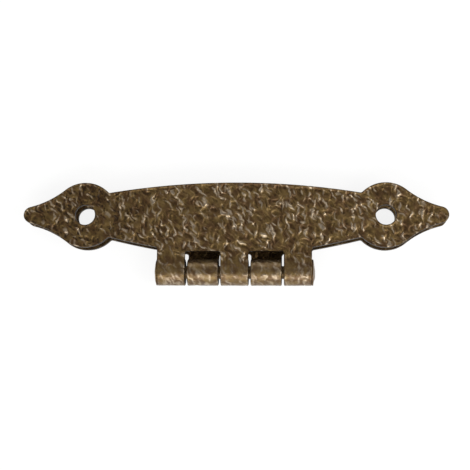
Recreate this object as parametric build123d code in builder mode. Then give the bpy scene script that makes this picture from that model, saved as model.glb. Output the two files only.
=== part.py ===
"""H hinge: two spear-ended leaves of stamped sheet, folded together on one riveted pin.

Frame: +X runs along the pin, +Y from the barrel to the free edges, +Z up through the folded leaves.
The origin lies on the seat of the lower leaf, midway between its two screw holes.
"""

import os
from math import acos, degrees, sqrt

from build123d import *

# Driving dimensions, in millimetres
SHEET = 1.0  # thickness of the leaf sheet
SCREW_SPACING = 46.0  # between the two screw holes of one leaf
SCREW_HOLE = 3.1  # diameter of a screw hole
HEAD_RADIUS = 5.0  # round head about each screw hole
TIP_REACH = 9.5  # from a screw hole to the end of its spear tip
TIP_RADIUS = 1.25  # blunt end of the spear tip
FLANK_RADIUS = 14.0  # hollow flank between the head and the tip
NECK_WIDTH = 6.8  # body width where it runs into a head
CROWN = 5.0  # free edge above the screw line, at mid length
AXIS_OFFSET = 8.65  # from the screw line to the pin axis
TAB_HEIGHT = 3.65  # from the pin axis to the shoulders of the knuckle tab
BORE = 2.1  # inside diameter of a rolled knuckle
PIN_CLEARANCE = 0.05  # radial, between pin and knuckle
WIDE_KNUCKLE = 4.74  # width of the two knuckles of the lower leaf
NARROW_KNUCKLE = 4.26  # width of the three knuckles of the upper leaf
KNUCKLE_GAP = 0.33  # between neighbouring knuckles
SLOT_CLEARANCE = 1.0  # from the barrel to the end of a knuckle slot
SEAM_GAP = 0.3  # between the rolled end of the sheet and its own leaf
CORNER_RADIUS = 0.4  # inside corners of the blank, left by the punch
EDGE_BREAK = 0.2  # outer edges, drawn in by the punch
HOLE_BREAK = 0.15  # outer edge of a screw hole
RIVET_HEIGHT = 0.5  # pin head beyond the end knuckle
RIVET_RIM = 0.2  # straight rim of a pin head below its dome
RIVET_INSET = 0.05  # pin head inside the outline of the barrel

# Sizes that follow from them
barrel_radius = BORE / 2 + SHEET
barrel_length = 3 * NARROW_KNUCKLE + 2 * WIDE_KNUCKLE + 4 * KNUCKLE_GAP
half_barrel = barrel_length / 2
axis_y = -AXIS_OFFSET
axis_z = barrel_radius
shoulder_y = axis_y + TAB_HEIGHT
slot_y = axis_y + barrel_radius + SLOT_CLEARANCE
screw_x = SCREW_SPACING / 2
half_neck = NECK_WIDTH / 2
neck_x = screw_x - sqrt(HEAD_RADIUS**2 - half_neck**2)
crown_rise = CROWN - half_neck
crown_radius = (neck_x**2 + crown_rise**2) / (2 * crown_rise)
roll_angle = 360 - degrees(acos((BORE / 2 - SEAM_GAP) / barrel_radius))
pin_radius = BORE / 2 - PIN_CLEARANCE
rivet_radius = barrel_radius - RIVET_INSET

# Knuckles along the pin, in turn: narrow, wide, narrow, wide, narrow
knuckle_pitch = (NARROW_KNUCKLE + WIDE_KNUCKLE) / 2 + KNUCKLE_GAP
narrow_centres = [-2 * knuckle_pitch, 0.0, 2 * knuckle_pitch]
wide_centres = [-knuckle_pitch, knuckle_pitch]
narrow_slot = NARROW_KNUCKLE + 2 * KNUCKLE_GAP
wide_slot = WIDE_KNUCKLE + 2 * KNUCKLE_GAP

# The lower leaf sits on the ground plane; the upper one is the same way up, turned over above it
lower_seat = Plane.XY
upper_seat = Plane(origin=(0, 0, 2 * axis_z), x_dir=(-1, 0, 0), z_dir=(0, 0, -1))


def flank_ends():
    """Points where the hollow flank leaves the head and meets the tip, from the screw hole, upper side."""
    tip_x = TIP_REACH - TIP_RADIUS
    to_head = HEAD_RADIUS + FLANK_RADIUS
    to_tip = TIP_RADIUS + FLANK_RADIUS
    centre_x = (to_head**2 - to_tip**2 + tip_x**2) / (2 * tip_x)
    centre = Vector(centre_x, sqrt(to_head**2 - centre_x**2))
    tip_centre = Vector(tip_x, 0)
    on_head = centre.normalized() * HEAD_RADIUS
    on_tip = tip_centre + (centre - tip_centre).normalized() * TIP_RADIUS
    return on_head, on_tip


def spear_end():
    """Face of one spear end about its screw hole: round head, hollow flanks and blunt tip towards +X."""
    on_head, on_tip = flank_ends()
    below_head = Vector(on_head.X, -on_head.Y)
    below_tip = Vector(on_tip.X, -on_tip.Y)
    with BuildSketch() as end:
        with BuildLine():
            ThreePointArc(on_head, (-HEAD_RADIUS, 0), below_head)
            RadiusArc(on_head, on_tip, -FLANK_RADIUS)
            ThreePointArc(on_tip, (TIP_REACH, 0), below_tip)
            RadiusArc(below_tip, below_head, -FLANK_RADIUS)
        make_face()
    return end.sketch


def inside_corners(blank):
    """Corners of a blank where the punch leaves a radius: necks, shoulders and the ends of the slots."""
    places = [(neck_x, half_neck), (neck_x, -half_neck), (half_barrel, shoulder_y)]

    def is_inside(vertex):
        if abs(vertex.Y - slot_y) < 1e-6:
            return abs(vertex.X) < half_barrel - KNUCKLE_GAP
        return any(abs(abs(vertex.X) - x) < 1e-6 and abs(vertex.Y - y) < 1e-6 for x, y in places)

    return blank.vertices().filter_by(is_inside)


def leaf_blank(seat, slot_centres, slot_width):
    """Punched outline of a leaf: crowned body, spear ends, knuckle tab and the slots between knuckles."""
    end = spear_end()
    with BuildSketch(seat) as blank:
        with BuildLine():
            ThreePointArc((-neck_x, half_neck), (0, CROWN), (neck_x, half_neck))
            Line((neck_x, half_neck), (neck_x, -half_neck))
            RadiusArc((neck_x, -half_neck), (half_barrel, shoulder_y), crown_radius)
            Polyline(
                (half_barrel, shoulder_y),
                (half_barrel, axis_y),
                (-half_barrel, axis_y),
                (-half_barrel, shoulder_y),
            )
            RadiusArc((-half_barrel, shoulder_y), (-neck_x, -half_neck), crown_radius)
            Line((-neck_x, -half_neck), (-neck_x, half_neck))
        make_face()
        with Locations((screw_x, 0), Location((-screw_x, 0), (0, 0, 180))):
            add(end)
        with Locations(*[(x, slot_y) for x in slot_centres]):
            Rectangle(slot_width, 2 * TAB_HEIGHT, align=(Align.CENTER, Align.MAX), mode=Mode.SUBTRACT)
        fillet(inside_corners(blank), radius=CORNER_RADIUS)
        with Locations((screw_x, 0), (-screw_x, 0)):
            Circle(SCREW_HOLE / 2, mode=Mode.SUBTRACT)
    return blank.sketch


def roll_section(seat, x):
    """Section of a knuckle at x along the pin: sheet wrapped round the bore till its end nears its own leaf."""
    centre = (axis_y, axis_z)
    side = Plane(origin=seat.from_local_coords((x, 0, 0)), x_dir=seat.y_dir, z_dir=seat.x_dir)
    with BuildSketch(side) as section:
        with BuildLine():
            outside = CenterArc(centre, barrel_radius, 270, -roll_angle)
            inside = CenterArc(centre, BORE / 2, 270, -roll_angle)
            Line(outside @ 0, inside @ 0)
            Line(outside @ 1, inside @ 1)
        make_face()
    return section.sketch


def seat_face(leaf, seat):
    """Outer face of a leaf, the flat that goes against the wood."""
    return leaf.faces().sort_by(Axis(seat.origin, seat.z_dir))[0]


def outline_edges(leaf, seat):
    """Outer edges of a leaf, without the lines where its flat runs on into the knuckles."""
    return seat_face(leaf, seat).outer_wire().edges().filter_by(lambda edge: edge.center().Y > axis_y + EDGE_BREAK)


def hole_edges(leaf, seat):
    """Outer edges of the screw holes of a leaf."""
    return [edge for wire in seat_face(leaf, seat).inner_wires() for edge in wire.edges()]


# Lower leaf: two wide knuckles, three slots for the knuckles of the upper leaf
with BuildPart() as two_knuckle_leaf:
    extrude(leaf_blank(lower_seat, narrow_centres, narrow_slot), amount=SHEET)
    for centre in wide_centres:
        extrude(roll_section(lower_seat, centre - WIDE_KNUCKLE / 2), amount=WIDE_KNUCKLE)
    chamfer(outline_edges(two_knuckle_leaf, lower_seat), length=EDGE_BREAK)
    chamfer(hole_edges(two_knuckle_leaf, lower_seat), length=HOLE_BREAK)

# Upper leaf: three narrow knuckles, two slots for the knuckles of the lower leaf
with BuildPart() as three_knuckle_leaf:
    extrude(leaf_blank(upper_seat, wide_centres, wide_slot), amount=SHEET)
    for centre in narrow_centres:
        extrude(roll_section(upper_seat, centre - NARROW_KNUCKLE / 2), amount=NARROW_KNUCKLE)
    chamfer(outline_edges(three_knuckle_leaf, upper_seat), length=EDGE_BREAK)
    chamfer(hole_edges(three_knuckle_leaf, upper_seat), length=HOLE_BREAK)

# Pin: a plain shank through all five knuckles, with a low domed head riveted over each end
with BuildPart() as hinge_pin:
    pin_plane = Plane(origin=(0, axis_y, axis_z), x_dir=(1, 0, 0), z_dir=(0, -1, 0))
    with BuildSketch(pin_plane) as pin_half:
        with BuildLine():
            rim_end = half_barrel + RIVET_RIM
            head_end = half_barrel + RIVET_HEIGHT
            Polyline(
                (head_end, 0),
                (-head_end, 0),
            )
            for side in (-1, 1):
                Polyline(
                    (side * half_barrel, pin_radius),
                    (side * half_barrel, rivet_radius),
                    (side * rim_end, rivet_radius),
                )
                dome_height = RIVET_HEIGHT - RIVET_RIM
                dome_radius = (rivet_radius**2 + dome_height**2) / (2 * dome_height)
                RadiusArc((side * rim_end, rivet_radius), (side * head_end, 0), side * dome_radius)
            Line((-half_barrel, pin_radius), (half_barrel, pin_radius))
        make_face()
    revolve(axis=Axis(pin_plane.origin, pin_plane.x_dir))

os.makedirs("parts", exist_ok=True)
two_knuckle_leaf.part.label = "two_knuckle_leaf"
three_knuckle_leaf.part.label = "three_knuckle_leaf"
hinge_pin.part.label = "hinge_pin"
export_step(two_knuckle_leaf.part, "parts/two_knuckle_leaf.step")
export_step(three_knuckle_leaf.part, "parts/three_knuckle_leaf.step")
export_step(hinge_pin.part, "parts/hinge_pin.step")
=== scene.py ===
"""Antique-bronze H hinge: two hammered spear-ended leaves, folded together on a riveted pin.

Lengths in the classes are millimetres, and MM turns them into metres. +X runs along the pin, +Y from the
barrel to the free edges of the leaves and +Z up through the folded hinge, which lies on its lower leaf.
"""

import logging
import math
from collections.abc import Iterator
from dataclasses import dataclass, field
from enum import Enum

import bpy
import numpy as np
from mathutils import Matrix, Vector
from mathutils.geometry import delaunay_2d_cdt

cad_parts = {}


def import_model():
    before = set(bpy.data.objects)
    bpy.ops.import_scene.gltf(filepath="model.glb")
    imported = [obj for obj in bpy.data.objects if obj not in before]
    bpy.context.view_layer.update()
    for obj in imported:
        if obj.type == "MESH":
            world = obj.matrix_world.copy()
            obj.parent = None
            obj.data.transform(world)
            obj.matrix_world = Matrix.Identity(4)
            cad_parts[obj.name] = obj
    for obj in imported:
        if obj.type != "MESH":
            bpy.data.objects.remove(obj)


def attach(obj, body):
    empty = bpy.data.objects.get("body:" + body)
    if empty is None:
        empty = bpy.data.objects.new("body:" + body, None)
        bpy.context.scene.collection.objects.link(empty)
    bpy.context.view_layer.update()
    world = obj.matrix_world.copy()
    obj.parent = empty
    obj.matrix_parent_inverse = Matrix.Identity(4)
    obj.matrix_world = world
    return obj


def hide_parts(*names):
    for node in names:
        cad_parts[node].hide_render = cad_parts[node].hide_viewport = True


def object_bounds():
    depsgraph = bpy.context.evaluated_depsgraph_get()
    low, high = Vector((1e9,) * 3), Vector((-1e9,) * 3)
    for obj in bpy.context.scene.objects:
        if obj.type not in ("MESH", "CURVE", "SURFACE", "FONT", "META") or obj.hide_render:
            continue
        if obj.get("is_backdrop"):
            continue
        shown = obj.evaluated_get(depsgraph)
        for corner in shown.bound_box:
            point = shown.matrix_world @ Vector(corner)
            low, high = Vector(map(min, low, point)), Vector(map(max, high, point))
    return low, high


MM = 0.001
LOG = logging.getLogger("h_hinge")
Array = np.ndarray
Colour = tuple[float, float, float]
Pair = tuple[float, float]
Socket = bpy.types.NodeSocket
WHITE: Colour = (1.0, 1.0, 1.0)

TINY = 1e-6  # lengths in millimetres below this count as nothing
CORNER_ROOM = 0.3  # share of a step that points keep from a rounded corner
REPEAT = 0.2  # share of a step within which two points are one
WAVE_SPREAD = (0.7, 1.4)  # shortest and longest wave of a sine field, over its middle one
FIELD_PEAK = 1.6  # usual peak of a sine field of unit variance
TRIANGLE_ROW = 0.866  # height of an equal-sided triangle over its side
SHARP_ANGLE = 55.0  # edges that turn by more degrees are shaded as sharp
NEIGHBOURS = [(step_u, step_v) for step_u in (-1, 0, 1) for step_v in (-1, 0, 1)]
COLUMNS, ROWS = 97, 89  # cells of a random table, after which a pattern comes round again
MIX_FIRST, MIX_SECOND, MIX_RESULT = 6, 7, 2  # colour sockets of a Mix node, which share their names


class LeafSide(Enum):
    """Which leaf of the folded hinge a piece is."""

    LOWER = "two_knuckle_leaf"
    UPPER = "three_knuckle_leaf"


class Face(Enum):
    """The two faces of a leaf's sheet."""

    OUTER = 0
    INNER = 1


# Plane curves


def arc_points(centre: Array, radius: float, start: float, end: float, step: float) -> Array:
    """Points of a circular arc: centre + radius * (cos a, sin a), with a running from start to end.

    Args:
        centre: Centre of the circle.
        radius: Radius of the circle.
        start: First angle, in radians.
        end: Last angle, in radians.
        step: Spacing of the points along the arc.

    Returns:
        Points as an (n, 2) array, both ends included.
    """
    count = max(3, math.ceil(abs(end - start) * radius / step) + 1)
    angle = np.linspace(start, end, count)
    return np.asarray(centre) + radius * np.stack([np.cos(angle), np.sin(angle)], axis=1)


def arc_about(centre: Array, first: Array, last: Array, step: float) -> Array:
    """Points of the shorter arc about a centre from one point to another.

    Args:
        centre: Centre of the circle.
        first: Point where the arc starts.
        last: Point where the arc ends.
        step: Spacing of the points.

    Returns:
        Points as an (n, 2) array.
    """
    a = np.asarray(first) - centre
    b = np.asarray(last) - centre
    start = math.atan2(a[1], a[0])
    turn = (math.atan2(b[1], b[0]) - start + math.pi) % (2 * math.pi) - math.pi
    return arc_points(centre, float(np.hypot(*a)), start, start + turn, step)


def bulged_line(first: Array, last: Array, radius: float, step: float) -> Array:
    """Points of an arc of large radius whose centre lies to the left of the way from first to last.

    The centre is the middle of the chord c moved left by the square root of radius^2 - (c / 2)^2.

    Args:
        first: Start of the arc.
        last: End of the arc.
        radius: Radius of the arc.
        step: Spacing of the points.

    Returns:
        Points as an (n, 2) array.
    """
    first = np.asarray(first, float)
    last = np.asarray(last, float)
    chord = last - first
    length = float(np.hypot(*chord))
    left = np.array([-chord[1], chord[0]]) / length
    centre = (first + last) / 2 + left * math.sqrt(radius**2 - length**2 / 4)
    return arc_about(centre, first, last, step)


def line_points(first: Array, last: Array, step: float) -> Array:
    """Points at equal spacing on a straight line: first + (last - first) * t, with t from 0 to 1.

    Args:
        first: Start of the line.
        last: End of the line.
        step: Largest spacing of the points.

    Returns:
        Points as an (n, 2) array, both ends included.
    """
    first = np.asarray(first, float)
    last = np.asarray(last, float)
    count = max(2, math.ceil(float(np.hypot(*(last - first))) / step) + 1)
    return first + (last - first) * np.linspace(0.0, 1.0, count)[:, None]


def join_rounded(runs: list[Array], rounded: list[bool], radius: float, step: float) -> Array:
    """Joins runs into one closed loop, with a tangent arc at each corner that is marked as rounded.

    With half the angle between the runs as h, the arc starts and ends at radius / tan h from the corner,
    and its centre lies on the bisector at radius / sin h.

    Args:
        runs: Point runs, each starting where the one before ends.
        rounded: For each run, whether the corner after it is rounded.
        radius: Radius of the rounded corners.
        step: Spacing of the points on the arcs.

    Returns:
        The loop as an (n, 2) array without a repeated point.
    """
    trimmed = [np.asarray(run, float) for run in runs]
    fillets: list[Array] = []
    for index, is_round in enumerate(rounded):
        after = (index + 1) % len(runs)
        if not is_round:
            fillets.append(np.empty((0, 2)))
            continue
        corner = runs[index][-1]
        back = runs[index][-2] - corner
        ahead = runs[after][1] - corner
        back = back / np.hypot(*back)
        ahead = ahead / np.hypot(*ahead)
        half = math.acos(float(np.clip(back @ ahead, -1.0, 1.0))) / 2
        reach = radius / math.tan(half)
        middle = back + ahead
        centre = corner + middle / np.hypot(*middle) * radius / math.sin(half)
        fillets.append(arc_about(centre, corner + back * reach, corner + ahead * reach, step))
        for side in (index, after):
            apart = np.hypot(*(trimmed[side] - corner).T)
            trimmed[side] = trimmed[side][apart > reach + CORNER_ROOM * step]
    loop = np.concatenate([part for pair in zip(trimmed, fillets) for part in pair])
    gap = np.hypot(*(loop - np.roll(loop, 1, axis=0)).T)
    return loop[gap > REPEAT * step]


def inward_normals(loop: Array) -> Array:
    """Unit normals to the left of a loop's way round: the tangent (x, y) turned to (-y, x).

    Args:
        loop: Points of a closed loop, (n, 2).

    Returns:
        One normal for every point, (n, 2).
    """
    tangent = np.roll(loop, -1, axis=0) - np.roll(loop, 1, axis=0)
    normal = np.stack([-tangent[:, 1], tangent[:, 0]], axis=1)
    return normal / np.linalg.norm(normal, axis=1, keepdims=True)


def depth_inside(points: Array, loops: list[Array], batch: int = 2000) -> Array:
    """Distance of every point from the nearest point of the loops, negative to the right of their way round.

    Args:
        points: Points to measure, (n, 2).
        loops: Closed loops, (m, 2) each.
        batch: How many points are measured at a time.

    Returns:
        The (n,) distances.
    """
    border = np.concatenate(loops)
    normal = np.concatenate([inward_normals(loop) for loop in loops])
    depth: list[Array] = []
    for block in np.array_split(points, max(1, len(points) // batch)):
        square = (block[:, :1] - border[:, 0]) ** 2 + (block[:, 1:] - border[:, 1]) ** 2
        nearest = square.argmin(axis=1)
        inside = ((block - border[nearest]) * normal[nearest]).sum(axis=1) > 0.0
        depth.append(np.sqrt(square.min(axis=1)) * np.where(inside, 1.0, -1.0))
    return np.concatenate(depth)


def smoothstep(low: float, high: float, value: Array) -> Array:
    """Smooth rise 3 t^2 - 2 t^3, with t running from 0 at low to 1 at high."""
    t = np.clip((value - low) / (high - low), 0.0, 1.0)
    return t * t * (3.0 - 2.0 * t)


def sine_field(x: Array, y: Array, wave: float, seed: int, count: int = 9) -> Array:
    """Smooth random field: the sum of plane sine waves in random directions, scaled to about -1 to 1.

    Args:
        x: First coordinate.
        y: Second coordinate.
        wave: Middle wavelength.
        seed: Seed of the directions and phases.
        count: Number of waves.

    Returns:
        The field at every point.
    """
    rng = np.random.default_rng(seed)
    angle = rng.uniform(0.0, 2 * np.pi, count)
    number = 2 * np.pi / (wave * rng.uniform(*WAVE_SPREAD, count))
    phase = rng.uniform(0.0, 2 * np.pi, count)
    along = x[:, None] * np.cos(angle) + y[:, None] * np.sin(angle)
    return np.sin(along * number + phase).sum(axis=1) / math.sqrt(count / 2) / FIELD_PEAK


# Sizes of the hinge


@dataclass(frozen=True)
class HingeSizes:
    """Sizes of the hinge, as its solids have them."""

    sheet: float = 1.0
    screw_spacing: float = 46.0
    screw_hole: float = 3.1
    head_radius: float = 5.0
    tip_reach: float = 9.5
    tip_radius: float = 1.25
    flank_radius: float = 14.0
    neck_width: float = 6.8
    crown: float = 5.0
    axis_offset: float = 8.65
    tab_height: float = 3.65
    bore: float = 2.1
    pin_clearance: float = 0.05
    wide_knuckle: float = 4.74
    narrow_knuckle: float = 4.26
    knuckle_gap: float = 0.33
    slot_clearance: float = 1.0
    seam_gap: float = 0.3
    corner_radius: float = 0.4
    edge_round: float = 0.2
    rivet_height: float = 0.5
    rivet_rim: float = 0.2
    rivet_inset: float = 0.05

    @property
    def barrel_radius(self) -> float:
        """Outside radius of the rolled knuckles."""
        return self.bore / 2 + self.sheet

    @property
    def half_barrel(self) -> float:
        """Half the length of the row of knuckles."""
        return (3 * self.narrow_knuckle + 2 * self.wide_knuckle + 4 * self.knuckle_gap) / 2

    @property
    def axis_y(self) -> float:
        """Place of the pin axis below the screw line."""
        return -self.axis_offset

    @property
    def slot_y(self) -> float:
        """Upper end of the knuckle slots."""
        return self.axis_y + self.barrel_radius + self.slot_clearance

    @property
    def shoulder_y(self) -> float:
        """Upper corners of the knuckle tab."""
        return self.axis_y + self.tab_height

    @property
    def neck_x(self) -> float:
        """Place of the necks along the leaf, where the body meets the round heads."""
        return self.screw_spacing / 2 - math.sqrt(self.head_radius**2 - self.neck_width**2 / 4)

    @property
    def crown_radius(self) -> float:
        """Radius of the crowned free edge, from its rise over the half length between the necks."""
        rise = self.crown - self.neck_width / 2
        return (self.neck_x**2 + rise**2) / (2 * rise)

    @property
    def roll_angle(self) -> float:
        """Angle through which the sheet is rolled, in radians."""
        return 2 * math.pi - math.acos((self.bore / 2 - self.seam_gap) / self.barrel_radius)

    @property
    def roll_end(self) -> float:
        """Place of the rolled end on the flat blank, measured along the outside of the roll."""
        return self.axis_y - self.barrel_radius * self.roll_angle

    def fingers(self, side: LeafSide) -> list[Pair]:
        """Knuckles of a leaf, which take turns along the pin: narrow, wide, narrow, wide, narrow.

        Args:
            side: Which leaf; the lower one has the wide knuckles, the upper one the narrow ones.

        Returns:
            Start and end along the pin of each knuckle, from left to right.
        """
        pitch = (self.narrow_knuckle + self.wide_knuckle) / 2 + self.knuckle_gap
        if side is LeafSide.LOWER:
            half = self.wide_knuckle / 2
            return [(x - half, x + half) for x in (-pitch, pitch)]
        half = self.narrow_knuckle / 2
        return [(x - half, x + half) for x in (-2 * pitch, 0.0, 2 * pitch)]


# Hammered skin


def cells_about(u: Array, v: Array, seed: int, draws: int, jitter: float) -> Iterator[tuple]:
    """Goes through the nine cells of a unit grid round every place, each with a middle shifted at random.

    Args:
        u: First coordinate, in cells.
        v: Second coordinate, in cells.
        seed: Seed of the random numbers.
        draws: How many random numbers a cell has besides its shift.
        jitter: Largest shift of a middle, in cells.

    Yields:
        The two offsets of every place from the cell's middle, and the cell's numbers from -1 to 1.
    """
    table = np.random.default_rng(seed).uniform(-1.0, 1.0, (COLUMNS, ROWS, 2 + draws))
    column = np.floor(u).astype(int)
    row = np.floor(v).astype(int)
    for step_u, step_v in NEIGHBOURS:
        shift_u, shift_v, *numbers = table[(column + step_u) % COLUMNS, (row + step_v) % ROWS].T
        du = u - (column + step_u + 0.5 + jitter * shift_u)
        dv = v - (row + step_v + 0.5 + jitter * shift_v)
        yield du, dv, numbers


@dataclass(frozen=True)
class HammeredSkin:
    """Bark-like hammered relief: shallow slanting dents, crossed by short raised strokes at many angles."""

    seed: int  # each field and table draws from it plus a number of its own
    dent_width: float = 0.85
    dent_length: float = 1.50
    dent_depth: float = 0.13
    dent_slope: float = 0.20  # steepest floor of a dent
    dent_level: float = 0.3  # spread of the floors, in dent depths
    dent_jitter: float = 0.45  # in cells
    dent_margin: float = 0.4  # in cells, over which a floor fades out towards its wall
    wander: float = 0.28  # how far the dents' places are bent
    wander_waves: Pair = (2.3, 2.6)
    stroke_pitch: float = 0.92
    stroke_reach: float = 0.90
    stroke_reach_spread: float = 0.4
    stroke_width: float = 0.20
    stroke_height: float = 0.11
    stroke_strength: float = 0.55
    stroke_strength_spread: float = 0.6
    stroke_jitter: float = 0.5  # in cells
    slant: float = 0.40  # radians
    lean: float = 0.62  # radians
    bend: float = 0.32  # per millimetre
    fray: float = 0.18  # how far the strokes' places are bent
    fray_waves: Pair = (1.15, 1.25)
    swell: float = 0.2  # in dent depths
    swell_wave: float = 4.5
    rounding: float = 0.03  # e in the formula of relief()

    def dents(self, x: Array, s: Array) -> Array:
        """Depth of the dents, from a slanting, jittered grid of them laid over places bent by a sine field.

        With f1 and f2 as the distances to the nearest two dents, the wall of a dent rises as
        (2 f1 / (f1 + f2))^3, and its floor has a level and a slope of its own.

        Args:
            x: Place along the pin.
            s: Place across the flat blank.

        Returns:
            The depth in millimetres.
        """
        bent_x = self.wander * sine_field(x, s, self.wander_waves[0], self.seed)
        bent_s = self.wander * sine_field(x, s, self.wander_waves[1], self.seed + 1)
        u = (x - math.tan(self.slant) * s + bent_x) / self.dent_width
        v = (s + bent_s) / self.dent_length
        first = np.full(len(x), np.inf)
        second = np.full(len(x), np.inf)
        floor = np.zeros(len(x))
        for du, dv, (level, slope_u, slope_v) in cells_about(u, v, self.seed + 2, 3, self.dent_jitter):
            apart = np.hypot(du, dv)
            rise = slope_u * du * self.dent_width + slope_v * dv * self.dent_length
            own = self.dent_level * self.dent_depth * level + self.dent_slope * rise
            floor = np.where(apart < first, own, floor)
            second = np.minimum(second, np.maximum(first, apart))
            first = np.minimum(first, apart)
        wall = (2.0 * first / (first + second)) ** 3
        return self.dent_depth * (1.0 - wall) + smoothstep(0.0, self.dent_margin, second - first) * floor

    def strokes(self, x: Array, s: Array) -> Array:
        """Height of the raised strokes, one in every cell of a jittered grid, from 0 to 1.

        Places are first bent by a sine field, fray far, which leaves the strokes crooked. A stroke runs
        across the blank, leaning by slant and up to lean more or less, and is bowed along its length a by
        bend * a^2. At b beside its middle line its height is
        exp(-(b / stroke_width)^2) * (1 - (a / reach)^2), times a strength of its own.

        Args:
            x: Place along the pin.
            s: Place across the flat blank.

        Returns:
            The height of the tallest stroke at every place.
        """
        u = (x + self.fray * sine_field(x, s, self.fray_waves[0], self.seed + 7)) / self.stroke_pitch
        v = (s + self.fray * sine_field(x, s, self.fray_waves[1], self.seed + 8)) / self.stroke_pitch
        height = np.zeros(len(x))
        for du, dv, (lean, bow, length, force) in cells_about(u, v, self.seed + 5, 4, self.stroke_jitter):
            dx = du * self.stroke_pitch
            ds = dv * self.stroke_pitch
            angle = self.slant + self.lean * lean
            along = dx * np.sin(angle) + ds * np.cos(angle)
            beside = dx * np.cos(angle) - ds * np.sin(angle) + self.bend * bow * along**2
            reach = self.stroke_reach * (1.0 + self.stroke_reach_spread * length)
            taper = np.clip(1.0 - (along / reach) ** 2, 0.0, 1.0)
            strength = np.clip(self.stroke_strength + self.stroke_strength_spread * force, 0.0, 1.0)
            height = np.maximum(height, np.exp(-((beside / self.stroke_width) ** 2)) * taper * strength)
        return height

    def relief(self, x: Array, s: Array) -> tuple[Array, Array]:
        """Depth below the sheet's face, and how far each place stands up as a stroke.

        The dents, the strokes and a slow swell are added up, and the depth d is kept above zero by
        (d + sqrt(d^2 + e^2)) / 2.

        Args:
            x: Place along the pin.
            s: Place across the flat blank.

        Returns:
            The depth in millimetres, and the stroke from 0 to 1.
        """
        stroke = self.strokes(x, s)
        swell = self.swell * self.dent_depth * sine_field(x, s, self.swell_wave, self.seed + 4)
        depth = self.dents(x, s) + self.stroke_height * (1.0 - stroke) + swell
        return (depth + np.sqrt(depth**2 + self.rounding**2)) / 2, stroke


# Finishes


class NodeSheet:
    """Small helper that adds nodes to a node tree and joins their sockets."""

    def __init__(self, tree: bpy.types.NodeTree) -> None:
        """Keeps the tree and empties it."""
        self.tree = tree
        tree.nodes.clear()

    def add(self, kind: str, settings: dict | None = None, **inputs: object) -> bpy.types.Node:
        """Adds a node, sets its properties and fills its inputs with values or links.

        Args:
            kind: Blender's node type.
            settings: Properties set on the node itself.
            **inputs: Socket values or output sockets, keyed by socket name with _ for a space.

        Returns:
            The new node.
        """
        node = self.tree.nodes.new(kind)
        for name, value in (settings or {}).items():
            setattr(node, name, value)
        for name, value in inputs.items():
            self.fill(node.inputs[name.replace("_", " ")], value)
        return node

    def fill(self, socket: Socket, value: object) -> None:
        """Links an output socket to an input socket, or sets the input's value.

        Args:
            socket: Input socket to fill.
            value: Output socket, number or colour.
        """
        if isinstance(value, Socket):
            self.tree.links.new(value, socket)
        elif isinstance(value, tuple) and len(value) == 3 and socket.type == "RGBA":
            socket.default_value = (*value, 1.0)
        else:
            socket.default_value = value

    def math(self, operation: str, first: object, second: object, clamp: bool = False) -> Socket:
        """Adds a Math node on two numbers or sockets.

        Args:
            operation: Blender's name of the operation.
            first: First number or socket.
            second: Second number or socket.
            clamp: Whether the result is kept from 0 to 1.

        Returns:
            The node's output.
        """
        node = self.add("ShaderNodeMath", {"operation": operation, "use_clamp": clamp})
        self.fill(node.inputs[0], first)
        self.fill(node.inputs[1], second)
        return node.outputs[0]

    def plus(self, base: object, value: object, factor: float) -> Socket:
        """Adds the Math nodes for base + value * factor and returns their output."""
        return self.math("ADD", base, self.math("MULTIPLY", value, factor))

    def noise(self, place: Socket, scale: object, grade: Pair) -> Socket:
        """Adds a Noise Texture node.

        Args:
            place: Coordinates that the noise is laid on.
            scale: Scale of the noise.
            grade: Number of finer octaves, and how strong each is over the one before.

        Returns:
            The noise, from 0 to 1.
        """
        node = self.add("ShaderNodeTexNoise", Vector=place, Scale=scale, Detail=grade[0], Roughness=grade[1])
        return node.outputs["Fac"]

    def mix(self, factor: object, first: object, second: object) -> Socket:
        """Adds a colour Mix node.

        Args:
            factor: Share of the second colour.
            first: First colour or socket.
            second: Second colour or socket.

        Returns:
            The mixed colour.
        """
        node = self.add("ShaderNodeMix", {"data_type": "RGBA", "clamp_factor": True})
        self.fill(node.inputs[0], factor)
        self.fill(node.inputs[MIX_FIRST], first)
        self.fill(node.inputs[MIX_SECOND], second)
        return node.outputs[MIX_RESULT]

    def ramp(self, value: Socket, low: float, high: float) -> Socket:
        """Adds a Map Range node that rises smoothly from 0 to 1.

        Args:
            value: Socket with the value to map.
            low: Value that gives 0.
            high: Value that gives 1.

        Returns:
            The mapped value.
        """
        node = self.add("ShaderNodeMapRange", {"interpolation_type": "SMOOTHSTEP"}, Value=value)
        node.inputs["From Min"].default_value = low
        node.inputs["From Max"].default_value = high
        return node.outputs["Result"]


def new_group(name: str, inputs: dict[str, str], outputs: dict[str, str]) -> bpy.types.NodeTree:
    """Makes an empty shader node group with named sockets.

    Args:
        name: Name of the group.
        inputs: Socket type for each input name.
        outputs: Socket type for each output name.

    Returns:
        The new node tree.
    """
    tree = bpy.data.node_groups.new(name, "ShaderNodeTree")
    for socket, kind in inputs.items():
        tree.interface.new_socket(socket, in_out="INPUT", socket_type=kind)
    for socket, kind in outputs.items():
        tree.interface.new_socket(socket, in_out="OUTPUT", socket_type=kind)
    return tree


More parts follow.
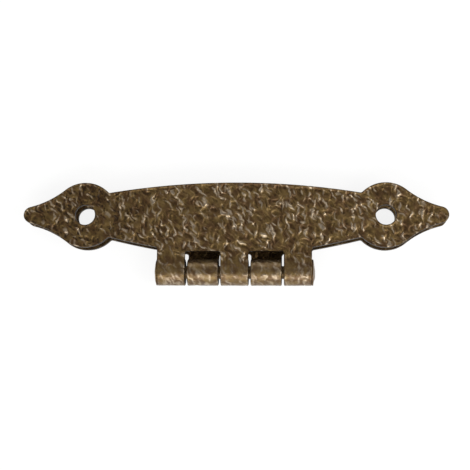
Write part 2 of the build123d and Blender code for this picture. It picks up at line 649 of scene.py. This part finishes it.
@dataclass(frozen=True)
class AntiquePatina:
    """Patina that the finishes share: mottled bronze, dark in the hollows and where painted shade is laid,
    and rubbed bright on the ridges.
    """

    blotch_scale: float = 750.0
    blotch_grade: Pair = (4.0, 0.6)
    blotch_range: Pair = (0.38, 0.62)
    speck_scale: float = 2600.0
    speck_grade: Pair = (3.0, 0.65)
    speck_range: Pair = (0.25, 0.75)
    dark_least: float = 0.2  # share of the soot and painted shade that lies between the specks
    dark_specks: float = 0.6  # what the specks add to it
    rub_specks: float = 0.5  # how far the specks break up the rubbed places
    rub_range: Pair = (0.24, 1.0)
    roughness: float = 0.42
    rub_gloss: float = 0.08
    blotch_roughness: float = 0.16
    dark_roughness: float = 0.15
    metallic: float = 0.80

    def group(self) -> bpy.types.NodeTree:
        """Builds the patina's node group.

        Returns:
            The node tree, with the rub, the hollow patina and painted shade, and four colours as inputs.
        """
        colour = "NodeSocketColor"
        number = "NodeSocketFloat"
        shades = dict.fromkeys(("Dark", "Brown", "Olive", "Bright"), colour)
        results = {"Color": colour, "Roughness": number, "Metallic": number, "Lacquer": number}
        tree = new_group("antique_patina", {"Rub": number, "Hollow": number, **shades}, results)
        sheet = NodeSheet(tree)
        given = sheet.add("NodeGroupInput").outputs
        place = sheet.add("ShaderNodeTexCoord").outputs["Object"]
        blotch = sheet.noise(place, self.blotch_scale, self.blotch_grade)
        speck = sheet.noise(place, self.speck_scale, self.speck_grade)
        blotch_swing = sheet.math("SUBTRACT", blotch, 0.5)
        speck_swing = sheet.math("SUBTRACT", speck, 0.5)
        body = sheet.mix(sheet.ramp(blotch, *self.blotch_range), given["Brown"], given["Olive"])
        cover = sheet.plus(self.dark_least, sheet.ramp(speck, *self.speck_range), self.dark_specks)
        # soot in the hollows together with the painted shade, spread by the specks
        soot_and_shade = sheet.math("MULTIPLY", given["Hollow"], cover, clamp=True)
        dim = sheet.mix(soot_and_shade, body, given["Dark"])
        rubbed = sheet.ramp(sheet.plus(given["Rub"], speck_swing, self.rub_specks), *self.rub_range)
        shade = sheet.mix(rubbed, dim, given["Bright"])
        rough = sheet.plus(self.roughness, rubbed, -self.rub_gloss)
        rough = sheet.plus(rough, blotch_swing, self.blotch_roughness)
        rough = sheet.plus(rough, soot_and_shade, self.dark_roughness)
        metal = sheet.plus(self.metallic, rubbed, 1.0 - self.metallic)
        clear = sheet.math("SUBTRACT", 1.0, given["Hollow"], clamp=True)
        sheet.add("NodeGroupOutput", Color=shade, Roughness=rough, Metallic=metal, Lacquer=clear)
        return tree


@dataclass(frozen=True)
class FineGrain:
    """Fine grain of plated sheet, at a scale that each finish gives."""

    coarse_grade: Pair = (5.0, 0.6)
    fine_grade: Pair = (2.0, 0.5)
    fine_ratio: float = 3.1
    fine_share: float = 0.35

    def group(self) -> bpy.types.NodeTree:
        """Builds the grain's node group: two scales of noise added into one height.

        Returns:
            The node tree.
        """
        tree = new_group("fine_grain", {"Scale": "NodeSocketFloat"}, {"Height": "NodeSocketFloat"})
        sheet = NodeSheet(tree)
        given = sheet.add("NodeGroupInput").outputs
        place = sheet.add("ShaderNodeTexCoord").outputs["Object"]
        coarse = sheet.noise(place, given["Scale"], self.coarse_grade)
        fine = sheet.noise(place, sheet.math("MULTIPLY", given["Scale"], self.fine_ratio), self.fine_grade)
        sheet.add("NodeGroupOutput", Height=sheet.plus(coarse, fine, self.fine_share))
        return tree


@dataclass(frozen=True)
class BronzeFinish:
    """Antique bronze plating on steel, coloured by how far a place is rubbed, hollow or in painted shade."""

    name: str
    # colour of the soot in the hollows and of the painted shade
    dark: Colour = (0.022, 0.012, 0.005)
    brown: Colour = (0.110, 0.056, 0.017)
    olive: Colour = (0.188, 0.117, 0.035)
    bright: Colour = (0.51, 0.41, 0.29)
    lacquer: float = 0.42
    lacquer_roughness: float = 0.32
    grain_scale: float = 3200.0
    grain_height: float = 0.018

    def material(self, patina: bpy.types.NodeTree, grain: bpy.types.NodeTree) -> bpy.types.Material:
        """Makes the material from the two shared node groups.

        Args:
            patina: Group that gives colour, roughness, metallic and the share of lacquer.
            grain: Group that gives the height of the grain.

        Returns:
            The finished material.
        """
        material = bpy.data.materials.new(self.name)
        material.use_nodes = True
        sheet = NodeSheet(material.node_tree)
        rub = sheet.add("ShaderNodeAttribute", {"attribute_name": "rub"}).outputs["Fac"]
        hollow_and_shade = sheet.add("ShaderNodeAttribute", {"attribute_name": "hollow_and_shade"}).outputs["Fac"]
        coat = sheet.add(
            "ShaderNodeGroup",
            {"node_tree": patina},
            Rub=rub,
            Hollow=hollow_and_shade,
            Dark=self.dark,
            Brown=self.brown,
            Olive=self.olive,
            Bright=self.bright,
        )
        tooth = sheet.add("ShaderNodeGroup", {"node_tree": grain}, Scale=self.grain_scale)
        bump = sheet.add("ShaderNodeBump", Height=tooth.outputs["Height"], Strength=1.0)
        bump.inputs["Distance"].default_value = self.grain_height * MM
        shader = sheet.add(
            "ShaderNodeBsdfPrincipled",
            Base_Color=coat.outputs["Color"],
            Roughness=coat.outputs["Roughness"],
            Metallic=coat.outputs["Metallic"],
            Normal=bump.outputs["Normal"],
            Coat_Weight=sheet.math("MULTIPLY", coat.outputs["Lacquer"], self.lacquer),
            Coat_Roughness=self.lacquer_roughness,
        )
        sheet.add("ShaderNodeOutputMaterial", Surface=shader.outputs["BSDF"])
        return material


# Pieces of the hinge


def mesh_object(name: str, points: Array, faces: list, fields: dict[str, Array]) -> bpy.types.Object:
    """Makes a smooth mesh object at the origin from points in millimetres.

    Args:
        name: Name of the piece.
        points: Vertices, (n, 3), in millimetres.
        faces: Vertex indices of each face.
        fields: One number for every vertex, under each attribute name.

    Returns:
        The new object, linked to the scene.
    """
    mesh = bpy.data.meshes.new(name)
    mesh.from_pydata((points * MM).tolist(), [], faces)
    for field_name, values in fields.items():
        attribute = mesh.attributes.new(field_name, "FLOAT", "POINT")
        attribute.data.foreach_set("value", np.ascontiguousarray(values, np.float32))
    mesh.shade_smooth()
    mesh.set_sharp_from_angle(angle=math.radians(SHARP_ANGLE))
    mesh.update()
    piece = bpy.data.objects.new(name, mesh)
    bpy.context.scene.collection.objects.link(piece)
    return piece


@dataclass
class HammeredLeaf:
    """One leaf: a punched and hammered sheet with spear ends, rolled into knuckles along one edge."""

    sizes: HingeSizes
    side: LeafSide
    body: str
    outer_skin: HammeredSkin
    inner_skin: HammeredSkin
    border_step: float = 0.17
    outer_step: float = 0.119
    inner_step: float = 0.160
    edge_rows: tuple[float, ...] = (0.05, 0.12, 0.21)
    row_room: float = 0.85  # share of its distance that a row keeps from every border
    fill_room: float = 0.55  # share of a step between the last row and the fill
    wall_rows: Pair = (0.33, 0.67)  # shares of the sheared wall's height
    inner_round: float = 0.06
    relief_fade: float = 0.45  # distance from the border over which the relief fades
    roll_relief: float = 0.25  # share of the relief that is left on the knuckles
    roll_polish: float = 0.6  # share of the rub and the soot of the relief that the knuckles lose
    roll_rub: float = 0.31
    hollow_range: Pair = (0.40, 0.95)  # shares of the greatest depth
    # painted shade on the sheared walls
    wall_shade: float = 2.6
    # painted shade along the rounded edge
    edge_shade: float = 1.6
    edge_fade: float = 0.16
    # painted shade on the knuckle tab and the knuckles
    tab_shade: float = 0.36
    tab_fade: Pair = (0.8, 0.4)  # above and below the shoulders of the tab
    bore_fade: float = 2.5  # over which the painted shade of the bores fades out, above the slots
    left_shade: float = 0.46  # painted shade added at the left end
    left_shade_rub: float = 0.4  # share of it that the rub loses there, as painted shade
    left_shade_reach: Pair = (6.0, 22.0)  # to the left of the middle
    piece: bpy.types.Object | None = field(default=None, init=False)

    def spear_run(self) -> Array:
        """Border of the right spear end, from its lower neck round the tip to its upper neck.

        The hollow flank's centre lies head_radius + flank_radius from the screw hole and
        tip_radius + flank_radius from the centre of the tip, so the three arcs meet without a corner.

        Returns:
            Points as an (n, 2) array.
        """
        z = self.sizes
        step = self.border_step
        tip_x = z.tip_reach - z.tip_radius
        to_head = z.head_radius + z.flank_radius
        to_tip = z.tip_radius + z.flank_radius
        centre_x = (to_head**2 - to_tip**2 + tip_x**2) / (2 * tip_x)
        centre = np.array([centre_x, math.sqrt(to_head**2 - centre_x**2)])
        tip = np.array([tip_x, 0.0])
        on_head = centre * z.head_radius / to_head
        on_tip = tip + (centre - tip) * z.tip_radius / to_tip
        neck = math.atan2(z.neck_width / 2, z.neck_x - z.screw_spacing / 2)
        head = arc_points((0.0, 0.0), z.head_radius, math.atan2(on_head[1], on_head[0]), neck, step)
        flank = arc_about(centre, on_tip, on_head, step)
        turn = math.atan2(on_tip[1], on_tip[0] - tip_x)
        nose = arc_points(tip, z.tip_radius, 0.0, turn, step)
        upper = np.concatenate([nose, flank[1:], head[1:]])
        lower = upper[::-1] * (1.0, -1.0)
        return np.concatenate([lower, upper[1:]]) + (z.screw_spacing / 2, 0.0)

    def tab_runs(self) -> tuple[list[Array], list[bool]]:
        """Border of the knuckle tab and its fingers on the flat blank, from the left shoulder to the right.

        Returns:
            The runs in order, and for each run whether the corner after it is rounded.
        """
        z = self.sizes
        corners: list[tuple[float, float, bool]] = [(-z.half_barrel, z.shoulder_y, True)]
        at = -z.half_barrel
        for start, end in z.fingers(self.side):
            if start > at + TINY:
                corners.append((at, z.slot_y, at > -z.half_barrel))
                corners.append((start, z.slot_y, True))
            corners.append((start, z.roll_end, False))
            corners.append((end, z.roll_end, False))
            at = end
        if at < z.half_barrel - TINY:
            corners.append((at, z.slot_y, True))
            corners.append((z.half_barrel, z.slot_y, False))
        corners.append((z.half_barrel, z.shoulder_y, True))
        pairs = list(zip(corners[:-1], corners[1:]))
        runs = [line_points(a[:2], b[:2], self.border_step) for a, b in pairs]
        return runs, [b[2] for _, b in pairs]

    def borders(self) -> list[Array]:
        """Closed borders of the flat blank: the outline, sheet to its left, and the two screw holes.

        Returns:
            The outline and the holes as (n, 2) arrays.
        """
        z = self.sizes
        step = self.border_step
        half_neck = z.neck_width / 2
        right = self.spear_run()
        left = -right
        crown = bulged_line((z.neck_x, half_neck), (-z.neck_x, half_neck), z.crown_radius, step)
        corner = (-z.half_barrel, z.shoulder_y)
        into_tab = bulged_line((-z.neck_x, -half_neck), corner, z.crown_radius, step)
        corner = (z.half_barrel, z.shoulder_y)
        out_of_tab = bulged_line(corner, (z.neck_x, -half_neck), z.crown_radius, step)
        tab, tab_round = self.tab_runs()
        runs = [right, crown, left, into_tab, *tab, out_of_tab]
        rounded = [True, True, True, True, *tab_round, True]
        outline = join_rounded(runs, rounded, z.corner_radius, step)
        holes = []
        for x in (-z.screw_spacing / 2, z.screw_spacing / 2):
            holes.append(arc_points((x, 0.0), z.screw_hole / 2, 2 * math.pi, 0.0, step)[:-1])
        return [outline, *holes]

    def flat_points(self, borders: list[Array], pitch: float) -> tuple[Array, Array]:
        """Points of the flat blank: its borders, rows beside them for the rounded edge, and an even fill.

        Args:
            borders: Closed borders from borders().
            pitch: Spacing of the fill.

        Returns:
            The (n, 2) points, borders first, and their distance from the nearest border.
        """
        z = self.sizes
        border = np.concatenate(borders)
        normal = np.concatenate([inward_normals(loop) for loop in borders])
        parts = [border]
        apart = [np.zeros(len(border))]
        for row in self.edge_rows:
            inset = border + normal * row
            kept = np.abs(depth_inside(inset, borders)) > self.row_room * row
            parts.append(inset[kept])
            apart.append(np.full(int(kept.sum()), row))
        reach = z.screw_spacing / 2 + z.tip_reach
        rows = np.arange(z.roll_end, z.crown, pitch * TRIANGLE_ROW)
        across, along = np.meshgrid(np.arange(-reach, reach, pitch), rows)
        across[1::2] += pitch / 2
        fill = np.stack([across.ravel(), along.ravel()], axis=1)
        depth = depth_inside(fill, borders)
        kept = depth > self.edge_rows[-1] + self.fill_room * pitch
        parts.append(fill[kept])
        apart.append(depth[kept])
        return np.concatenate(parts), np.concatenate(apart)

    def triangles(self, flat: Array, edges: Array, borders: list[Array]) -> Array:
        """Triangles of the flat blank, without those that bridge a hollow of its outline or a screw hole.

        A triangle with a corner off the borders lies in the sheet. One with all its corners on them does when
        its middle is to the left of the border beside it.

        Args:
            flat: Points of the blank, borders first.
            edges: Border edges, which the triangles keep to.
            borders: Closed borders from borders().

        Returns:
            Point indices as an (n, 3) array, each triangle turning to the left.
        """
        found = np.array(delaunay_2d_cdt(flat.tolist(), edges.tolist(), [], 0, TINY, True)[2])
        doubtful = (found < len(edges)).all(axis=1)
        inside = np.ones(len(found), bool)
        inside[doubtful] = depth_inside(flat[found[doubtful]].mean(axis=1), borders) > 0.0
        found = found[inside]
        first, second, third = (flat[found[:, corner]] for corner in range(3))
        area = np.cross(second - first, third - first)
        return np.where((area > 0.0)[:, None], found, found[:, ::-1])

    def bend(self, x: Array, s: Array, depth: Array) -> Array:
        """Place in the hinge of a point of the flat blank at a depth below the sheet's outer face.

        Above the pin axis the sheet is flat: y = s and z = depth. Past it, the sheet turns about the pin by
        a = (axis_y - s) / R, so y = axis_y - (R - depth) sin a and z = R - (R - depth) cos a. The upper leaf
        is the same, turned half a turn about the Y direction at the height of the pin.

        Args:
            x: Place along the pin.
            s: Place across the flat blank.
            depth: Depth below the outer face.

        Returns:
            Points as an (n, 3) array.
        """
        z = self.sizes
        radius = z.barrel_radius
        turn = np.maximum(z.axis_y - s, 0.0) / radius
        rolled = s < z.axis_y
        y = np.where(rolled, z.axis_y - (radius - depth) * np.sin(turn), s)
        height = np.where(rolled, radius - (radius - depth) * np.cos(turn), depth)
        if self.side is LeafSide.UPPER:
            return np.stack([-x, y, 2 * radius - height], axis=1)
        return np.stack([x, y, height], axis=1)

    def surface(self, face: Face, flat: Array, apart: Array) -> tuple[Array, Array, Array]:
        """One hammered face of the leaf with its rounded edge.

        At a distance d from the border the edge falls by r - sqrt(r^2 - (r - d)^2). The relief fades towards
        the border, is pressed flatter on the knuckles and is left off in their bores. Painted shade darkens
        the rounded edge, the knuckle tab and the knuckles, and on the inner face the bores; towards the left
        end it darkens the face and takes away its rub.

        Args:
            face: Which face of the sheet.
            flat: Points of the flat blank.
            apart: Their distance from the border.

        Returns:
            The (n, 3) points, how far each is rubbed, from 0 to 1, and how dark it is made by soot in the
            hollows and by painted shade, which passes 1 at the borders.
        """
        z = self.sizes
        x, s = flat.T
        skin = self.outer_skin if face is Face.OUTER else self.inner_skin
        radius = z.edge_round if face is Face.OUTER else self.inner_round
        inset = np.maximum(radius - apart, 0.0)
        fall = radius - np.sqrt(np.maximum(radius**2 - inset**2, 0.0))
        depth, ridge = skin.relief(x, s)
        on_roll = smoothstep(-z.slot_y, -z.axis_y, -s)
        pressed = self.roll_relief if face is Face.OUTER else 0.0
        weight = smoothstep(0.0, self.relief_fade, apart) * (1.0 + (pressed - 1.0) * on_roll)
        crisp = 1.0 - self.roll_polish * on_roll
        # painted shade: the left end is made darker and loses rub, as if less light fell there
        leftward = x if self.side is LeafSide.UPPER else -x
        left_shade = self.left_shade * smoothstep(*self.left_shade_reach, leftward)
        rub = np.clip(ridge * crisp + self.roll_rub * on_roll, 0.0, 1.0) * (1.0 - self.left_shade_rub * left_shade)
        deepest = skin.dent_depth + skin.stroke_height
        hollow_and_shade = smoothstep(*self.hollow_range, depth / deepest) * crisp + left_shade
        # painted shade: a dark band along the border
        on_edge = self.edge_shade * np.exp(-((apart / self.edge_fade) ** 2))
        above, below = self.tab_fade
        # painted shade: darker from the shoulders of the tab down over the knuckles
        on_tab = self.tab_shade * smoothstep(-z.shoulder_y - above, -z.shoulder_y + below, -s)
        hollow_and_shade = np.maximum.reduce([hollow_and_shade, on_edge, on_tab])
        depth = fall + weight * depth
        if face is Face.OUTER:
            return self.bend(x, s, depth), rub, hollow_and_shade
        # painted shade on the inner face towards the bores: darker and without rub
        bore_shade = smoothstep(-z.slot_y - self.bore_fade, -z.slot_y, -s)
        return self.bend(x, s, z.sheet - depth), rub * (1.0 - bore_shade), np.maximum(hollow_and_shade, bore_shade)

    def build(self) -> bpy.types.Object:
        """Builds the leaf's closed mesh: outer face, inner face and the sheared wall along every border.

        Returns:
            The leaf's object, riding on its body in place of its plain solid.
        """
        z = self.sizes
        borders = self.borders()
        lengths = [len(loop) for loop in borders]
        count = sum(lengths)
        rim = np.arange(count)
        following = np.concatenate([np.roll(loop, -1) for loop in np.split(rim, np.cumsum(lengths)[:-1])])
        edges = np.stack([rim, following], axis=1)
        layers: list[tuple[Array, Array, Array]] = []
        faces: list[list[int]] = []
        rows: list[Array] = []
        base = 0
        for face, pitch in ((Face.OUTER, self.outer_step), (Face.INNER, self.inner_step)):
            flat, apart = self.flat_points(borders, pitch)
            triangles = self.triangles(flat, edges, borders) + base
            faces += (triangles[:, ::-1] if face is Face.OUTER else triangles).tolist()
            layers.append(self.surface(face, flat, apart))
            rows.append(rim + base)
            base += len(flat)
        for share in self.wall_rows:
            depth = z.edge_round + share * (z.sheet - self.inner_round - z.edge_round)
            place = self.bend(*flat[:count].T, np.full(count, depth))
            # the sheared walls get painted shade: no rub and a dark share above 1
            layers.append((place, np.zeros(count), np.full(count, self.wall_shade)))
            rows.insert(-1, rim + base)
            base += count
        for low, high in zip(rows[:-1], rows[1:]):
            faces += np.stack([low, low[following], high[following], high], axis=1).tolist()
        points, rub, hollow_and_shade = (np.concatenate(part) for part in zip(*layers))
        name = "hammered_" + self.side.value
        self.piece = mesh_object(name, points, faces, {"rub": rub, "hollow_and_shade": hollow_and_shade})
        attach(self.piece, self.body)
        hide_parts(self.side.value)
        return self.piece

    def dress(self, material: bpy.types.Material) -> None:
        """Gives the leaf its finish."""
        self.piece.data.materials.append(material)


@dataclass
class RivetedPin:
    """The pin through the knuckles, with a low head hammered over each end."""

    sizes: HingeSizes
    body: str
    around: int = 72
    dome_points: int = 10
    shank_step: float = 1.2
    rim_soft: float = 0.08
    foot_soft: float = 0.04
    dent_depth: float = 0.05
    dent_wave: float = 1.6
    dent_seed: int = 71
    head_rub: float = 0.45
    # darkening of the shank inside the barrel: soot with painted shade
    soot_and_shade: float = 0.5
    piece: bpy.types.Object | None = field(default=None, init=False)

    def profile(self) -> Array:
        """Half section of the pin, from the middle of its left head to the middle of its right one.

        Each head's dome has radius (r^2 + h^2) / 2h over its rim of radius r and height h.

        Returns:
            Places along the pin and radii, as an (n, 2) array.
        """
        z = self.sizes
        radius = z.barrel_radius - z.rivet_inset
        rise = z.rivet_height - z.rivet_rim
        dome = (radius**2 + rise**2) / (2 * rise)
        lean = math.asin(radius / dome)
        angle = np.linspace(0.0, lean, self.dome_points)
        rim_x = z.half_barrel + z.rivet_rim
        crown = np.stack([rim_x + rise - dome * (1 - np.cos(angle)), dome * np.sin(angle)], axis=1)
        foot = z.half_barrel
        soft = self.foot_soft
        rim = np.array([[rim_x - self.rim_soft, radius], [foot + soft, radius], [foot, radius - soft]])
        shank_radius = z.bore / 2 - z.pin_clearance
        shank = line_points((foot, shank_radius), (0.0, shank_radius), self.shank_step)
        right = np.concatenate([crown, rim, shank])
        return np.concatenate([right * (-1.0, 1.0), right[-2::-1]])

    def build(self) -> bpy.types.Object:
        """Carries the half section round the pin axis: y = r cos a and z = r sin a about the axis.

        The heads get shallow hammer marks: a point at height h of a head sinks by h / rivet_height times
        dent_depth times one plus a sine field.

        Returns:
            The pin's object, riding on its body in place of its plain solid.
        """
        z = self.sizes
        half = self.profile()[1:-1]
        angle = np.linspace(0.0, 2 * np.pi, self.around, endpoint=False)
        along = np.repeat(half[:, 0], self.around)
        radius = np.repeat(half[:, 1], self.around)
        turn = np.tile(angle, len(half))
        y = radius * np.cos(turn)
        height = radius * np.sin(turn)
        beyond = np.maximum(np.abs(along) - z.half_barrel, 0.0)
        bumps = sine_field(y + along, height, self.dent_wave, self.dent_seed)
        dent = self.dent_depth * beyond / z.rivet_height * (1.0 + bumps)
        along = along - np.sign(along) * dent
        reach = z.half_barrel + z.rivet_height - self.dent_depth
        ends = np.array([[-reach, 0.0, 0.0], [reach, 0.0, 0.0]])
        ring = np.stack([along, y, height], axis=1)
        points = np.concatenate([ring, ends]) + (0.0, z.axis_y, z.barrel_radius)
        rows = np.arange(len(ring)).reshape(len(half), self.around)
        following = np.roll(rows, -1, axis=1)
        walls = np.stack([rows[:-1], following[:-1], following[1:], rows[1:]], axis=2).reshape(-1, 4)
        left = np.stack([following[0], rows[0], np.full(self.around, len(ring))], axis=1)
        right = np.stack([rows[-1], following[-1], np.full(self.around, len(ring) + 1)], axis=1)
        faces = walls.tolist() + left.tolist() + right.tolist()
        rub = np.append(self.head_rub * beyond / z.rivet_height, [self.head_rub, self.head_rub])
        # the shank is darker than the heads: soot with painted shade between the knuckles
        self.piece = mesh_object("riveted_pin", points, faces, {"rub": rub, "hollow_and_shade": self.soot_and_shade - rub})
        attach(self.piece, self.body)
        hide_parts("hinge_pin")
        return self.piece

    def dress(self, material: bpy.types.Material) -> None:
        """Gives the pin its finish."""
        self.piece.data.materials.append(material)


# Studio


@dataclass(frozen=True)
class Softbox:
    """One soft area lamp aimed at the hinge; lengths in metres."""

    name: str
    azimuth: float
    elevation: float
    away: float
    size: Pair
    radiance: float

    def build(self) -> None:
        """Makes the lamp; its power is radiance times pi times its area."""
        lamp = bpy.data.lights.new(self.name, "AREA")
        lamp.shape = "RECTANGLE"
        lamp.size, lamp.size_y = self.size
        lamp.energy = self.radiance * math.pi * self.size[0] * self.size[1]
        a = math.radians(self.azimuth)
        e = math.radians(self.elevation)
        toward = Vector((math.sin(a) * math.cos(e), -math.cos(a) * math.cos(e), math.sin(e)))
        piece = bpy.data.objects.new(self.name, lamp)
        piece.location = toward * self.away
        piece.rotation_euler = toward.to_track_quat("Z", "Y").to_euler()
        bpy.context.scene.collection.objects.link(piece)


@dataclass
class Studio:
    """Pale floor, soft lamps, sky and the camera above the hinge."""

    floor_span: float = 6.0  # metres
    floor_drop: float = 0.02
    floor_colour: Colour = (0.16, 0.16, 0.157)
    floor_glow: float = 0.865
    far_glow: float = 0.10  # added to the floor's glow far from the hinge
    glow_reach: Pair = (0.05, 0.7)  # metres
    horizon: Colour = WHITE
    zenith: Colour = (0.16, 0.16, 0.17)
    sky_range: Pair = (0.35, 0.95)  # sines of the elevation
    tilt: float = 9.0  # degrees
    aside: float = 3.0  # degrees
    away: float = 185.0
    fill: float = 0.90
    sensor: float = 36.0
    clip: Pair = (0.005, 20.0)  # metres
    lamps: tuple[Softbox, ...] = (
        Softbox("front_softbox", 0.0, 40.0, 0.50, (0.60, 0.26), 3.2),
        Softbox("right_softbox", 70.0, 42.0, 0.28, (0.16, 0.16), 4.3),
        Softbox("back_softbox", 180.0, 25.0, 0.60, (0.60, 0.20), 0.8),
    )

    def floor(self) -> None:
        """Lays the pale floor just under the hinge and marks it as stage."""
        half = self.floor_span / 2
        down = -self.floor_drop * MM
        corners = [(-half, -half, down), (half, -half, down), (half, half, down), (-half, half, down)]
        mesh = bpy.data.meshes.new("pale_floor")
        mesh.from_pydata(corners, [], [(0, 1, 2, 3)])
        floor = bpy.data.objects.new("pale_floor", mesh)
        bpy.context.scene.collection.objects.link(floor)
        material = bpy.data.materials.new("pale_floor")
        material.use_nodes = True
        sheet = NodeSheet(material.node_tree)
        matt = sheet.add("ShaderNodeBsdfDiffuse", Color=self.floor_colour)
        glow = sheet.add("ShaderNodeEmission", Color=WHITE)
        path = sheet.add("ShaderNodeLightPath").outputs
        seen = sheet.math("MAXIMUM", path["Is Camera Ray"], path["Is Glossy Ray"])
        seen = sheet.math("MAXIMUM", seen, path["Is Transmission Ray"])
        place = sheet.add("ShaderNodeTexCoord").outputs["Object"]
        away = sheet.add("ShaderNodeVectorMath", {"operation": "LENGTH"}, Vector=place).outputs["Value"]
        level = sheet.plus(self.floor_glow, sheet.ramp(away, *self.glow_reach), self.far_glow)
        sheet.fill(glow.inputs["Strength"], sheet.math("MULTIPLY", seen, level))
        both = sheet.add("ShaderNodeAddShader")
        sheet.fill(both.inputs[0], matt.outputs["BSDF"])
        sheet.fill(both.inputs[1], glow.outputs["Emission"])
        sheet.add("ShaderNodeOutputMaterial", Surface=both.outputs["Shader"])
        floor.data.materials.append(material)
        floor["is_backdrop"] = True

    def sky(self) -> None:
        """Makes the sky: white at the horizon and darker overhead, where the camera stands."""
        world = bpy.data.worlds.new("studio_sky")
        world.use_nodes = True
        sheet = NodeSheet(world.node_tree)
        way = sheet.add("ShaderNodeTexCoord").outputs["Generated"]
        up = sheet.add("ShaderNodeSeparateXYZ", Vector=way).outputs["Z"]
        shade = sheet.mix(sheet.ramp(up, *self.sky_range), self.horizon, self.zenith)
        light = sheet.add("ShaderNodeBackground", Color=shade, Strength=1.0)
        sheet.add("ShaderNodeOutputWorld", Surface=light.outputs["Background"])
        bpy.context.scene.world = world

    def camera(self, middle: Vector, width: float) -> None:
        """Stands the camera almost straight above the hinge, leaning to the barrel's side.

        Args:
            middle: Point that the camera looks at.
            width: Length of the hinge, which takes up the share fill of the picture.
        """
        aside = math.tan(math.radians(self.aside))
        tilt = math.tan(math.radians(self.tilt))
        back = Vector((aside, -tilt, 1.0)).normalized()
        across = Vector((1.0, 0.0, 0.0))
        right = (across - back * across.dot(back)).normalized()
        up = back.cross(right)
        lens = bpy.data.cameras.new("photo_camera")
        lens.sensor_width = self.sensor
        lens.lens = lens.sensor_width * self.away * MM * self.fill / width
        lens.clip_start, lens.clip_end = self.clip
        eye = bpy.data.objects.new("photo_camera", lens)
        turn = Matrix((right, up, back)).transposed().to_4x4()
        eye.matrix_world = Matrix.Translation(middle + back * self.away * MM) @ turn
        bpy.context.scene.collection.objects.link(eye)
        bpy.context.scene.camera = eye

    def build(self, low: Vector, high: Vector) -> None:
        """Sets up the whole studio.

        Args:
            low: Lowest corner of the hinge.
            high: Highest corner of the hinge.
        """
        self.floor()
        self.sky()
        for lamp in self.lamps:
            lamp.build()
        self.camera((low + high) / 2, high.x - low.x)
        bpy.context.scene.view_settings.view_transform = "Standard"


def main() -> None:
    """Builds and dresses the hinge, then sets up the studio round it."""
    logging.basicConfig(level=logging.INFO, format="%(name)s: %(message)s")
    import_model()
    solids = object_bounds()
    sizes = HingeSizes()
    patina = AntiquePatina().group()
    grain = FineGrain().group()
    leaf_finish = BronzeFinish("hammered_bronze")
    pin_finish = BronzeFinish("riveted_bronze", bright=(0.30, 0.24, 0.17), grain_scale=2200.0)
    leaf_bronze = leaf_finish.material(patina, grain)
    pin_bronze = pin_finish.material(patina, grain)
    lower = HammeredLeaf(sizes, LeafSide.LOWER, "lower_leaf", HammeredSkin(11), HammeredSkin(23))
    upper = HammeredLeaf(sizes, LeafSide.UPPER, "upper_leaf", HammeredSkin(37), HammeredSkin(53))
    for leaf in (lower, upper):
        piece = leaf.build()
        leaf.dress(leaf_bronze)
        LOG.info("%s: %d faces", piece.name, len(piece.data.polygons))
    pin = RivetedPin(sizes, "upper_leaf")
    piece = pin.build()
    pin.dress(pin_bronze)
    LOG.info("%s: %d faces", piece.name, len(piece.data.polygons))
    Studio().build(*solids)


if __name__ == "__main__":
    main()
